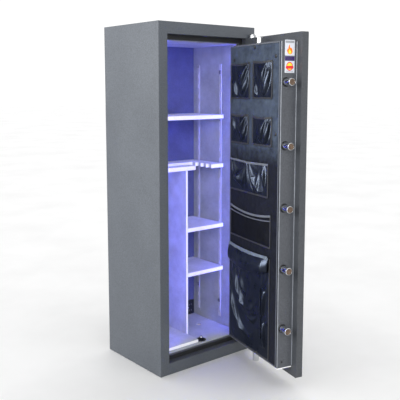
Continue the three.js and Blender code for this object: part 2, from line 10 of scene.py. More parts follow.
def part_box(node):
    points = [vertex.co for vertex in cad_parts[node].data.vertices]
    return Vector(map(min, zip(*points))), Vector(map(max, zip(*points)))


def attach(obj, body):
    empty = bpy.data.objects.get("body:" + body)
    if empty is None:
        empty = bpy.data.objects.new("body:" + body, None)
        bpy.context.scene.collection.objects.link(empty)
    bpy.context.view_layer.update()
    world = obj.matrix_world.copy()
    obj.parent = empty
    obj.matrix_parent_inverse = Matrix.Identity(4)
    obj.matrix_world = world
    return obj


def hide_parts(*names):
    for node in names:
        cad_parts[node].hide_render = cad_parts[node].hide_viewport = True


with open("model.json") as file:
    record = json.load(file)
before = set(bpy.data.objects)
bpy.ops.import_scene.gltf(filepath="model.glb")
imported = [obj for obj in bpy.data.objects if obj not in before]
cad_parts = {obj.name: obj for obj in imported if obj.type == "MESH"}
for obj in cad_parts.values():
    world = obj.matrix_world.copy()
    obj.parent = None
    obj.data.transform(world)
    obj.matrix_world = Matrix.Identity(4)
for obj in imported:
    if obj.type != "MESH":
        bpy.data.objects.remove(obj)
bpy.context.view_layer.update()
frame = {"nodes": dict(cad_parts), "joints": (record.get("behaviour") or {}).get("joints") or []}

MM = 0.001
scene = bpy.context.scene
joints = {j["name"]: j for j in frame["joints"]}

# Door pieces are written where they are when the door is shut, then swung open with it.
door_pin = Vector(joints["door_hinge"]["pos_m"])
door_swing = math.radians(-joints["door_hinge"]["range_deg"][0])
hung = (Matrix.Translation(door_pin) @ Matrix.Rotation(door_swing, 4, "Z")
        @ Matrix.Translation(-door_pin))


def shut_box(node_name):
    """Lowest and highest corner of a door node when the door is shut."""
    back_to_shut = hung.inverted()
    spots = [back_to_shut @ v.co for v in frame["nodes"][node_name].data.vertices]
    low = Vector([min(s[i] for s in spots) for i in range(3)])
    high = Vector([max(s[i] for s in spots) for i in range(3)])
    return low, high


# ---- shader helpers ---------------------------------------------------------------------
def tone(code, alpha=1.0):
    """Linear colour of an sRGB hex code."""
    parts = [int(code[i:i + 2], 16) / 255 for i in (1, 3, 5)]
    linear = [c / 12.92 if c <= 0.04045 else ((c + 0.055) / 1.055) ** 2.4 for c in parts]
    return (*linear, alpha)


def plug(tree, target, sockets):
    """Sets or links a node's sockets. A node given as a value stands for its first output."""
    for key, value in sockets.items():
        if isinstance(value, bpy.types.Node):
            value = value.outputs[0]
        if isinstance(value, bpy.types.NodeSocket):
            tree.links.new(value, target.inputs[key])
        else:
            target.inputs[key].default_value = value


def node(tree, kind, sockets, stops=(), **settings):
    """Adds a shader node with its settings, its sockets and, on a ramp, its colour stops."""
    made = tree.nodes.new("ShaderNode" + kind)
    for key, value in settings.items():
        setattr(made, key, value)
    plug(tree, made, sockets)
    for i, (place, code) in enumerate(stops):
        made.color_ramp.elements[i].position = place
        made.color_ramp.elements[i].color = tone(code)
    return made


def blank(name):
    """A new material, its tree, its Principled node and its object coordinates."""
    material = bpy.data.materials.new(name)
    material.use_nodes = True
    tree = material.node_tree
    coords = node(tree, "TexCoord", {}).outputs["Object"]
    return material, tree, tree.nodes["Principled BSDF"], coords


def surface(name, light, dark, mottle, grain, grain_depth, rough, stretch=None, **sockets):
    """A material that mottles between two colours, with a fine grain in bump and gloss.
    The mottle and the grain are blob sizes; stretch squeezes the grain along an axis."""
    material, tree, shade, coords = blank(name)
    patches = node(tree, "TexNoise", {"Vector": coords, "Scale": 1 / mottle, "Detail": 4.0,
                                      "Roughness": 0.6})
    if stretch:
        coords = node(tree, "Mapping", {0: coords, "Scale": stretch})
    fine = node(tree, "TexNoise", {"Vector": coords, "Scale": 1 / grain, "Detail": 2.0,
                                   "Roughness": 0.6})
    gloss = node(tree, "MapRange", {0: fine, 1: 0.3, 2: 0.7, 3: rough[0], 4: rough[1]})
    plug(tree, shade, {
        "Base Color": node(tree, "ValToRGB", {0: patches}, [(0.3, dark), (0.7, light)]),
        "Roughness": gloss,
        "Normal": node(tree, "Bump", {"Height": fine, "Distance": grain_depth,
                                      "Strength": 1.0})})
    plug(tree, shade, {key.replace("_", " "): value for key, value in sockets.items()})
    return material


# ---- steel, board and plastic -----------------------------------------------------------
def powder_coat(name, light, dark, rough):
    """Powder coat over sheet steel, sprayed and baked: a pebbled skin 1.6 mm from bead to bead
    over a 6 mm orange peel, with slow shifts in gloss."""
    material, tree, shade, coords = blank(name)
    pebbles = node(tree, "TexVoronoi", {"Vector": coords, "Scale": 1 / (1.6 * MM)},
                   feature="SMOOTH_F1")
    orange_peel = node(tree, "TexNoise", {"Vector": coords, "Scale": 1 / (6 * MM),
                                          "Detail": 2.0, "Roughness": 0.5})
    patches = node(tree, "TexNoise", {"Vector": coords, "Scale": 1 / (220 * MM),
                                      "Detail": 4.0, "Roughness": 0.6})
    colour = node(tree, "ValToRGB", {0: patches}, [(0.3, dark), (0.7, light)])
    grit = node(tree, "TexNoise", {"Vector": coords, "Scale": 1 / (4.2 * MM),
                                   "Detail": 2.0, "Roughness": 0.7})
    speckle = node(tree, "ValToRGB", {0: grit}, [(0.36, "#cfcfcf"), (0.62, "#ffffff")])
    flecked = node(tree, "Mix", {0: 1.0, 6: colour, 7: speckle}, data_type="RGBA",
                   blend_type="MULTIPLY").outputs[2]
    gloss = node(tree, "MapRange", {0: patches, 1: 0.3, 2: 0.7, 3: rough[0], 4: rough[1]})
    peel = node(tree, "Bump", {"Height": orange_peel, "Distance": 0.22 * MM, "Strength": 1.0})
    beads = node(tree, "Bump", {"Height": pebbles, "Distance": 0.09 * MM, "Strength": 1.0,
                                "Normal": peel})
    plug(tree, shade, {"Base Color": flecked, "Roughness": gloss, "Normal": beads,
                       "Specular IOR Level": 0.5})
    return material


body_paint = powder_coat("body_powder_coat", "#53585f", "#4b5057", (0.38, 0.48))
frame_paint = powder_coat("frame_powder_coat", "#4f5258", "#474a50", (0.36, 0.46))
# The door plate wears a darker copy of the frame's coat: painted shade that offsets the light of
# the front lamp.
shaded_door_paint = powder_coat("door_powder_coat_painted_shade", "#44474c", "#3c3f44", (0.36, 0.46))
# Extruded rubber, nearly black and dull.
seal_rubber = surface("seal_rubber", "#191a1c", "#101113", 30 * MM, 2 * MM, 0.1 * MM,
                      (0.55, 0.75))
# Cast gypsum board: chalky, with no shine at all.
gypsum = surface("gypsum_board", "#d8d2c4", "#c9c2b2", 50 * MM, 2 * MM, 0.2 * MM, (0.9, 1.0))
# Moulded ABS: a soft shine over a fine spark-eroded grain.
black_plastic = surface("black_moulded_plastic", "#1b1c1f", "#141518", 40 * MM, 0.8 * MM,
                        0.03 * MM, (0.35, 0.5))
# Roll-formed steel in pale enamel: smooth, with wide soft highlights.
standard_steel = surface("painted_slotted_steel", "#cfd1da", "#bfc1ca", 50 * MM, 1.2 * MM,
                         0.03 * MM, (0.32, 0.45))
# Zinc plate: a milky, slightly blotched metal.
zinc_steel = surface("zinc_plated_steel", "#b9bbbd", "#989a9c", 20 * MM, 1 * MM, 0.04 * MM,
                     (0.25, 0.42), Metallic=1.0)
# Turned steel: fine rings round the barrel, so its highlight is a soft upright band.
hinge_steel = surface("turned_bright_steel", "#b6b8bb", "#9ea0a4", 30 * MM, 1.2 * MM,
                      0.02 * MM, (0.2, 0.32), (0.3, 0.3, 5), Metallic=1.0)
# Chrome plate, buffed: a mirror with a faint haze.
chrome = surface("chrome_plate", "#d2d4d7", "#c2c4c8", 40 * MM, 3 * MM, 0.012 * MM,
                 (0.06, 0.14), Metallic=1.0)
# Satin plate in a champagne shade: a warm, broken reflection.
champagne = surface("satin_champagne_plate", "#84705f", "#5f5148", 12 * MM, 1.2 * MM,
                    0.03 * MM, (0.28, 0.42), Metallic=1.0)
# A near-white strip under the pan: clean and half glossy.
foot_steel = surface("bright_foot_strip", "#f2f2f3", "#e6e6e8", 30 * MM, 1 * MM, 0.03 * MM,
                     (0.25, 0.4))
# Anodised aluminium: an even black with a silky shine, and screen ink on it for the marks.
dial_black = surface("black_anodised_dial", "#1d1e20", "#141516", 20 * MM, 1 * MM, 0.03 * MM,
                     (0.28, 0.4))
dial_white = surface("white_dial_ink", "#f0f0ee", "#e4e4e2", 20 * MM, 1 * MM, 0.01 * MM,
                     (0.4, 0.5))


def light_diffuser(name, strength):
    """Moulded acrylic over a row of blue-violet diodes 16.7 mm apart: the cover is clear towards
    the back of the safe and throws its light only there."""
    material, tree, shade, coords = blank(name)
    facing = node(tree, "TexCoord", {}).outputs["Normal"]
    rearward = node(tree, "SeparateXYZ", {0: facing}).outputs[1]
    cover = node(tree, "Math", {0: rearward, 1: 0.35}, operation="GREATER_THAN")
    along = node(tree, "SeparateXYZ", {0: coords}).outputs[2]
    turns = node(tree, "Math", {0: along, 1: 2 * math.pi / (16.7 * MM)}, operation="MULTIPLY")
    dots = node(tree, "Math", {0: turns}, operation="COSINE")
    row = node(tree, "MapRange", {0: dots, 1: -1.0, 2: 1.0, 3: strength * 0.8,
                                  4: strength * 1.2})
    glow = node(tree, "Math", {0: row, 1: cover}, operation="MULTIPLY")
    plug(tree, shade, {"Base Color": tone("#c9c4ff"), "Roughness": 0.4,
                       "Emission Color": tone("#5f65ff"), "Emission Strength": glow})
    return material


led_glow = light_diffuser("blue_light_diffuser", 104)
led_glow_dim = light_diffuser("blue_light_diffuser_hinge_side", 84)


# ---- carpet and cloth -------------------------------------------------------------------
def pile(name, light, dark, depth, edging=None):
    """Needle-felt carpet: matted fibres that scatter the light, and a soft sheen. The fibres are
    drawn 1.2 mm wide, since real ones are too fine to show.
    Faces towards the door take the edging's colour: a painted highlight for the light on the
    board's front edge."""
    material, tree, shade, coords = blank(name)
    fibres = node(tree, "TexNoise", {"Vector": coords, "Scale": 1 / (1.2 * MM), "Detail": 5.0,
                                     "Roughness": 0.75})
    tufts = node(tree, "TexNoise", {"Vector": coords, "Scale": 1 / (6 * MM), "Detail": 3.0,
                                    "Roughness": 0.6})
    patches = node(tree, "TexNoise", {"Vector": coords, "Scale": 1 / (90 * MM), "Detail": 4.0,
                                      "Roughness": 0.6})
    colour = node(tree, "ValToRGB", {0: fibres}, [(0.3, dark), (0.68, light)])
    wear = node(tree, "ValToRGB", {0: patches}, [(0.3, "#d9d9d9"), (0.7, "#ffffff")])
    mixed = node(tree, "Mix", {0: 1.0, 6: colour, 7: wear}, data_type="RGBA",
                 blend_type="MULTIPLY").outputs[2]
    if edging:
        # Painted highlight: faces looking towards the door are mixed to the near-white edging
        # colour.
        facing = node(tree, "TexCoord", {}).outputs["Normal"]
        depthward = node(tree, "SeparateXYZ", {0: facing}).outputs[1]
        painted_highlight_share = node(tree, "MapRange", {0: depthward, 1: -0.75, 2: -0.35, 3: 1.0, 4: 0.0})
        mixed = node(tree, "Mix", {0: painted_highlight_share, 6: mixed, 7: tone(edging)},
                     data_type="RGBA").outputs[2]
    lumps = node(tree, "Bump", {"Height": tufts, "Distance": depth * 1.6, "Strength": 1.0})
    matted = node(tree, "Bump", {"Height": fibres, "Distance": depth, "Strength": 1.0,
                                 "Normal": lumps})
    plug(tree, shade, {"Base Color": mixed, "Roughness": 0.95, "Sheen Weight": 0.35,
                       "Sheen Roughness": 0.5, "Normal": matted})
    return material


wall_carpet = pile("grey_wall_carpet", "#c3c8d2", "#8f95a1", 0.6 * MM)
# The back wall's carpet is a darker, bluer copy of the wall carpet: painted shade for the back
# wall, which the white lamps reach less than the side walls.
shaded_back_carpet = pile("back_carpet_painted_shade", "#686d98", "#4a4f75", 0.6 * MM)
# Pale shelf carpet; its faces towards the door get a near-white painted highlight.
shelf_carpet_front_highlight = pile("shelf_carpet_painted_front_highlight", "#dcdfe8", "#aeb2bf", 0.5 * MM, "#fbfbff")


def woven(name, light, dark, thread, depth, rough, sheen, **sockets):
    """Woven cloth: crossed threads, with soft creases and uneven colour and gloss. The threads
    are drawn 0.9 to 1.2 mm wide, since real ones are too fine to show."""
    material, tree, shade, coords = blank(name)
    across, upward = [node(tree, "TexWave", {"Vector": coords, "Scale": 0.314 / thread,
                                             "Distortion": 0.6, "Detail": 1.0},
                           bands_direction=way).outputs["Fac"] for way in ("X", "Z")]
    threads = node(tree, "Math", {0: across, 1: upward}, operation="MAXIMUM")
    patches = node(tree, "TexNoise", {"Vector": coords, "Scale": 1 / (30 * MM), "Detail": 3.0,
                                      "Roughness": 0.6})
    crumple = node(tree, "TexNoise", {"Vector": coords, "Scale": 1 / (12 * MM), "Detail": 2.0,
                                      "Roughness": 0.5})
    creases = node(tree, "Bump", {"Height": crumple, "Distance": 0.3 * MM, "Strength": 1.0})
    plug(tree, shade, {
        "Base Color": node(tree, "ValToRGB", {0: patches}, [(0.3, dark), (0.7, light)]),
        "Roughness": node(tree, "MapRange", {0: patches, 1: 0.3, 2: 0.7, 3: rough[0],
                                             4: rough[1]}),
        "Normal": node(tree, "Bump", {"Height": threads, "Distance": depth, "Strength": 1.0,
                                      "Normal": creases}),
        "Sheen Weight": sheen})
    plug(tree, shade, {key.replace("_", " "): value for key, value in sockets.items()})
    return material


def backing_cloth():
    """Velour backing, near black below the upper pockets; above them a blue-grey is painted on for
    the light its top catches. Its nap is drawn 1.4 mm wide, since the real one is too fine to
    show."""
    material, tree, shade, coords = blank("velour_painted_light_top")
    fibres = node(tree, "TexNoise", {"Vector": coords, "Scale": 1 / (1.4 * MM), "Detail": 4.0,
                                     "Roughness": 0.7})
    crush = node(tree, "TexNoise", {"Vector": coords, "Scale": 1 / (35 * MM), "Detail": 4.0,
                                    "Roughness": 0.65})
    # Painted light: the cloth turns from near black to a lighter blue-grey up its height, for the
    # light its top catches.
    height = node(tree, "SeparateXYZ", {0: coords}).outputs[2]
    painted_light_edge = node(tree, "Math", {0: crush, 1: 0.10, 2: height}, operation="MULTIPLY_ADD")
    share = node(tree, "MapRange", {0: painted_light_edge, 1: 0.97, 2: 1.08, 3: 0.0, 4: 1.0})
    upper = node(tree, "ValToRGB", {0: crush}, [(0.3, "#2c333f"), (0.7, "#434d5c")])
    lower = node(tree, "ValToRGB", {0: crush}, [(0.3, "#0b0d14"), (0.7, "#171a25")])
    colour = node(tree, "Mix", {0: share, 6: lower, 7: upper}, data_type="RGBA").outputs[2]
    gloss = node(tree, "MapRange", {0: crush, 1: 0.3, 2: 0.7, 3: 0.42, 4: 0.7})
    soft = node(tree, "Bump", {"Height": crush, "Distance": 3 * MM, "Strength": 1.0})
    nap = node(tree, "Bump", {"Height": fibres, "Distance": 0.2 * MM, "Strength": 1.0,
                              "Normal": soft})
    plug(tree, shade, {"Base Color": colour, "Roughness": gloss, "Normal": nap,
                       "Sheen Weight": 0.04, "Specular IOR Level": 0.06})
    return material


velour = backing_cloth()
# Satin: almost black, lit only where a fold turns its smooth face to a lamp.
satin = woven("black_satin", "#06070b", "#030407", 0.9 * MM, 0.02 * MM, (0.26, 0.34), 0.0,
              Specular_IOR_Level=0.08, Specular_Tint=tone("#d5e2f2"))
# A lighter grey satin that is a painted sheen: it stands for the light caught along the top of the
# bag's flap.
painted_sheen_satin = woven("satin_painted_sheen", "#66717f", "#4b5460", 0.9 * MM, 0.03 * MM,
                   (0.35, 0.5), 0.1)
# Ribbed polyester tapes: dull, with a thread that just shows along the edges.
tape = woven("grey_binding_tape", "#565c67", "#444a54", 1.2 * MM, 0.12 * MM, (0.5, 0.65), 0.2)
piping_cloth = woven("dark_piping", "#4a4f5a", "#3b404a", 1.2 * MM, 0.12 * MM, (0.45, 0.6),
                     0.2)
black_tape = woven("black_binding_tape", "#1b1d23", "#131419", 1.2 * MM, 0.12 * MM,
                   (0.45, 0.6), 0.1)


def net(name):
    """Knitted elastic net: dark threads round open holes 2.6 mm apart, so that the panel shows
    through."""
    material, tree, shade, coords = blank(name)
    cells = node(tree, "TexVoronoi", {"Vector": coords, "Scale": 1 / (2.6 * MM),
                                      "Randomness": 0.25}, feature="DISTANCE_TO_EDGE")
    patches = node(tree, "TexNoise", {"Vector": coords, "Scale": 1 / (50 * MM), "Detail": 3.0,
                                      "Roughness": 0.5})
    plug(tree, shade, {
        "Base Color": node(tree, "ValToRGB", {0: patches}, [(0.3, "#0c0d11"), (0.7, "#16181f")]),
        "Alpha": node(tree, "Math", {0: cells, 1: 0.17}, operation="LESS_THAN"),
        "Normal": node(tree, "Bump", {"Height": cells, "Distance": 0.2 * MM, "Strength": 1.0}),
        "Roughness": 0.8, "Specular IOR Level": 0.1})
    return material


net_cloth = net("dark_elastic_net")


# ---- labels and stage -------------------------------------------------------------------
def vinyl(name, light, dark):
    """Printed vinyl: an even ink under a slightly uneven gloss."""
    return surface(name, light, dark, 10 * MM, 4 * MM, 0.01 * MM, (0.22, 0.34))


silver_vinyl = vinyl("silver_vinyl", "#c8ccd4", "#babec7")
white_vinyl = vinyl("white_vinyl", "#c3c7cf", "#b6bac3")
grey_vinyl = vinyl("grey_vinyl", "#8f9196", "#85878c")
orange_vinyl = vinyl("orange_vinyl", "#f07a1c", "#e36b12")
yellow_vinyl = vinyl("yellow_vinyl", "#ffcf3a", "#f7c22c")
red_vinyl = vinyl("red_vinyl", "#d3212a", "#c21820")
purple_vinyl = vinyl("purple_vinyl", "#33225c", "#2a1b4d")

# Painted studio floor: white, with a soft reflection under the safe.
studio_floor = surface("studio_floor", "#fbfbfb", "#f1f1f1", 800 * MM, 4 * MM, 0.02 * MM,
                       (0.55, 0.7))


# ---- mesh helpers -----------------------------------------------------------------------
def piece(name, vertices, faces, material, body, smooth=True, door=False, slot=None):
    """A new mesh that moves with a body."""
    mesh = bpy.data.meshes.new(name)
    mesh.from_pydata([tuple(v) for v in vertices], [], faces)
    mesh.validate()
    mesh.materials.append(material)
    for polygon in mesh.polygons:
        polygon.use_smooth = smooth
    made = bpy.data.objects.new(name, mesh)
    scene.collection.objects.link(made)
    if door:
        made.matrix_world = hung
    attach(made, body)
    return made


def rounded(made, width, segments=2, angle=30):
    """Breaks the sharp edges of a piece."""
    edge = made.modifiers.new("broken_edges", "BEVEL")
    edge.width = width
    edge.segments = segments
    edge.limit_method = "ANGLE"
    edge.angle_limit = math.radians(angle)
    edge.harden_normals = True
    return made


def brick(name, low, high, material, body, edge=0.0005, **where):
    """A box between two corners with broken edges."""
    spots = [(x, y, z) for z in (low[2], high[2]) for y in (low[1], high[1])
             for x in (low[0], high[0])]
    faces = [(0, 2, 3, 1), (4, 5, 7, 6), (0, 1, 5, 4), (2, 6, 7, 3), (0, 4, 6, 2), (1, 3, 7, 5)]
    return rounded(piece(name, spots, faces, material, body, **where), edge)


def turned(name, profile, centre, axis, material, body, steps=48, ring=False, **where):
    """A turned piece: profile is [(radius, distance along the axis), ...], closed at both ends,
    or back onto its start when it is a ring."""
    along = Vector(axis).normalized()
    side = along.orthogonal().normalized()
    other = along.cross(side)
    spots, faces = [], []
    for radius, distance in profile:
        for i in range(steps):
            angle = 2 * math.pi * i / steps
            spots.append(Vector(centre) + along * distance
                         + (side * math.cos(angle) + other * math.sin(angle)) * radius)
    for row in range(len(profile) if ring else len(profile) - 1):
        for i in range(steps):
            j = (i + 1) % steps
            a, b = row * steps, (row + 1) % len(profile) * steps
            faces.append((a + i, a + j, b + j, b + i))
    if not ring:
        faces.append(tuple(reversed(range(steps))))
        faces.append(tuple(range((len(profile) - 1) * steps, len(profile) * steps)))
    made = piece(name, spots, faces, material, body, **where)
    return rounded(made, 0.0003, 2, 35)


def ribbon(name, path, outline, material, body, up=(0, 1, 0), **where):
    """Sweeps an outline [(sideways, up), ...] along a path of points."""
    spots, faces = [], []
    n = len(outline)
    for i, spot in enumerate(path):
        before, after = path[max(i - 1, 0)], path[min(i + 1, len(path) - 1)]
        forward = (after - before).normalized()
        side = forward.cross(Vector(up)).normalized()
        top = side.cross(forward)
        spots += [spot + side * a + top * b for a, b in outline]
    for i in range(len(path) - 1):
        for j in range(n):
            k = (j + 1) % n
            faces.append((i * n + j, i * n + k, (i + 1) * n + k, (i + 1) * n + j))
    faces.append(tuple(reversed(range(n))))
    faces.append(tuple(range((len(path) - 1) * n, len(path) * n)))
    return piece(name, spots, faces, material, body, **where)


def oval(width, height, steps=12):
    return [(width / 2 * math.cos(2 * math.pi * i / steps),
             height / 2 * math.sin(2 * math.pi * i / steps)) for i in range(steps)]


def tape_outline(width, thickness):
    """A flat tape with rounded edges."""
    r = thickness / 2
    half = width / 2 - r
    arc = [(half + r * math.cos(a), r * math.sin(a))
           for a in (math.radians(d) for d in (-90, -45, 0, 45, 90))]
    return arc + [(-x, -y) for x, y in arc]


def soft_rectangle(x0, x1, z0, z1, corner, steps=4):
    """Points round a rectangle whose corners are arcs."""
    path = []
    for cx, cz, start in ((x1 - corner, z0 + corner, -90), (x1 - corner, z1 - corner, 0),
                          (x0 + corner, z1 - corner, 90), (x0 + corner, z0 + corner, 180)):
        for i in range(steps + 1):
            angle = math.radians(start + 90 * i / steps)
            path.append((cx + corner * math.cos(angle), cz + corner * math.sin(angle)))
    return path


# ---- steel, board and plastic CAD pieces: looks and broken edges ------------------------
def finish_node(name, material, edge):
    made = frame["nodes"][name]
    mesh = made.data
    mesh.materials.clear()
    mesh.materials.append(material)
    if "custom_normal" in mesh.attributes:
        mesh.attributes.remove(mesh.attributes["custom_normal"])
    for polygon in mesh.polygons:
        polygon.use_smooth = True
        polygon.material_index = 0
    weld = made.modifiers.new("one_skin", "WELD")
    weld.merge_threshold = 0.00002
    flat = made.modifiers.new("whole_faces", "DECIMATE")
    flat.decimate_type = "DISSOLVE"
    flat.angle_limit = math.radians(1)
    rounded(made, edge, 3 if edge > 0.001 else 2)


looks = {
    "body_shell": (body_paint, 0.0022),
    "door_jamb": (frame_paint, 0.0012),
    "door_seal": (seal_rubber, 0.0012),
    "liner_back": (shaded_back_carpet, 0.0008),
    "liner_left": (wall_carpet, 0.0008),
    "liner_right": (wall_carpet, 0.0008),
    "floor_board": (wall_carpet, 0.0012),
    "ceiling_board": (wall_carpet, 0.0012),
    "upper_shelf": (shelf_carpet_front_highlight, 0.003),
    "barrel_rest": (shelf_carpet_front_highlight, 0.003),
    "divider": (shelf_carpet_front_highlight, 0.002),
    "half_shelf_upper": (shelf_carpet_front_highlight, 0.003),
    "half_shelf_lower": (shelf_carpet_front_highlight, 0.003),
    "base_board": (shelf_carpet_front_highlight, 0.003),
    "light_strip_left": (led_glow, 0.0012),
    "light_strip_right": (led_glow_dim, 0.0012),
    "power_outlet": (black_plastic, 0.002),
    "bottom_strike": (black_plastic, 0.0008),
    "hinge_body_knuckle_upper": (hinge_steel, 0.001),
    "hinge_body_knuckle_lower": (hinge_steel, 0.001),
    "hinge_pin_upper": (zinc_steel, 0.0012),
    "hinge_pin_lower": (zinc_steel, 0.0012),
    "hinge_door_knuckle_upper": (hinge_steel, 0.001),
    "hinge_door_knuckle_lower": (hinge_steel, 0.001),
    "door_plate": (shaded_door_paint, 0.003),
    "door_fireboard": (gypsum, 0.0005),
    "boltwork_pan": (frame_paint, 0.0035),
    "bolt_carriage": (zinc_steel, 0.0005),
    "top_bolt": (chrome, 0.001),
    "bottom_bolt": (chrome, 0.001),
    "handle_cam": (zinc_steel, 0.0006),
    "handle_shaft": (zinc_steel, 0.0006),
    "spoke_handle": (chrome, 0.001),
    "dial_ring": (chrome, 0.0006),
    "combination_dial": (dial_black, 0.0008),
    "lock_case": (zinc_steel, 0.001),
    "lock_bolt": (zinc_steel, 0.0006),
}
for side in ("back", "left", "right", "bottom", "top"):
    looks[f"fireboard_{side}"] = (gypsum, 0.0005)
for side in ("left", "right"):
    for end in ("front", "rear"):
        looks[f"standard_{side}_{end}"] = (standard_steel, 0.0004)
for name, (material, edge) in looks.items():
    finish_node(name, material, edge)

# ---- side bolts: turned, with an inset end cap and a collar in the pan --------------------
pan_low, pan_high = shut_box("boltwork_pan")
for number in range(1, 6):
    name = f"side_bolt_{number}"
    low, high = shut_box(name)
    radius = (high.z - low.z) / 2
    start = Vector((low.x, (low.y + high.y) / 2, (low.z + high.z) / 2))
    length = high.x - low.x
    shaft = turned(f"{name}_shaft",
                   [(radius - 2.6 * MM, 1.2 * MM), (radius - 2.2 * MM, 0), (radius - 1.6 * MM, 0),
                    (radius, 1.8 * MM), (radius, length)],
                   start, (1, 0, 0), chrome, "side_bolts", door=True, slot="chrome")
    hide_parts(name)
    turned(f"{name}_end_cap", [(radius - 2.9 * MM, 1.1 * MM), (radius - 3.2 * MM, 0.2 * MM),
                               (3 * MM, 0.5 * MM), (0.5 * MM, 0.9 * MM)],
           start, (1, 0, 0), champagne, "side_bolts", door=True, slot="chrome")
    collar = Vector((pan_low.x, start.y, start.z))
    turned(f"{name}_collar", [(radius + 0.5 * MM, 0.5 * MM), (radius + 0.6 * MM, -1.8 * MM),
                              (radius + 1.6 * MM, -2.6 * MM), (radius + 3.2 * MM, -1.6 * MM),
                              (radius + 3.6 * MM, -0.1 * MM)],
           collar, (1, 0, 0), black_plastic, "door", ring=True, door=True,
           slot="black_plastic")

# ---- organizer --------------------------------------------------------------------------
panel_low, panel_high = shut_box("organizer_panel")
panel_face = panel_high.y
rng = random.Random(7)


def wavy_panel():
    """The backing: velour over thin board, slightly quilted where the pockets pull it."""
    columns, rows = 44, 140
    flat_rim = 20 * MM  # over this distance from an edge the quilting fades in
    spots, faces = [], []
    for j in range(rows + 1):
        for i in range(columns + 1):
            u, v = i / columns, j / rows
            x = panel_low.x + (panel_high.x - panel_low.x) * u
            z = panel_low.z + (panel_high.z - panel_low.z) * v
            puff = min(1.0, min(u, 1 - u) * (panel_high.x - panel_low.x) / flat_rim)
            wave = (math.sin(31 * z + 7 * x) + 0.6 * math.sin(57 * z - 23 * x + 1.3)) / 1.6
            spots.append((x, panel_face - 1.1 * MM + puff * wave * 0.8 * MM, z))
    for j in range(rows):
        for i in range(columns):
            a = j * (columns + 1) + i
            faces.append((a, a + columns + 1, a + columns + 2, a + 1))
    made = piece("organizer_backing", spots, faces, velour, "door", door=True, slot="velour")
    thick = made.modifiers.new("board", "SOLIDIFY")
    thick.thickness = 2.2 * MM
    thick.offset = -1
    return made


backing = wavy_panel()
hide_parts("organizer_panel")


piping_inset = 2 * MM
edge_path = [Vector((x, panel_face, z)) for x, z in soft_rectangle(
    panel_low.x + piping_inset, panel_high.x - piping_inset, panel_low.z + piping_inset,
    panel_high.z - piping_inset, 6 * MM, 6)]
ribbon("organizer_piping", edge_path + edge_path[:2], oval(4.4 * MM, 3.4 * MM), piping_cloth,
       "door", door=True, slot="velour")

grommet_spots = [(-0.1515, 1.354), (-0.1545, 1.050), (0.012, 1.396), (0.1835, 1.349),
                 (-0.030, 0.1085), (0.172, 0.1085)]
for i, (x, z) in enumerate(grommet_spots):
    spot = Vector((x, panel_face, z))
    turned(f"organizer_grommet_{i + 1}", [(7 * MM, 0), (7 * MM, 1.2 * MM), (5.2 * MM, 2.4 * MM),
                                          (2.2 * MM, 2.9 * MM), (1.5 * MM, 1.8 * MM)],
           spot, (0, 1, 0), black_plastic, "door", 24, door=True, slot="black_plastic")


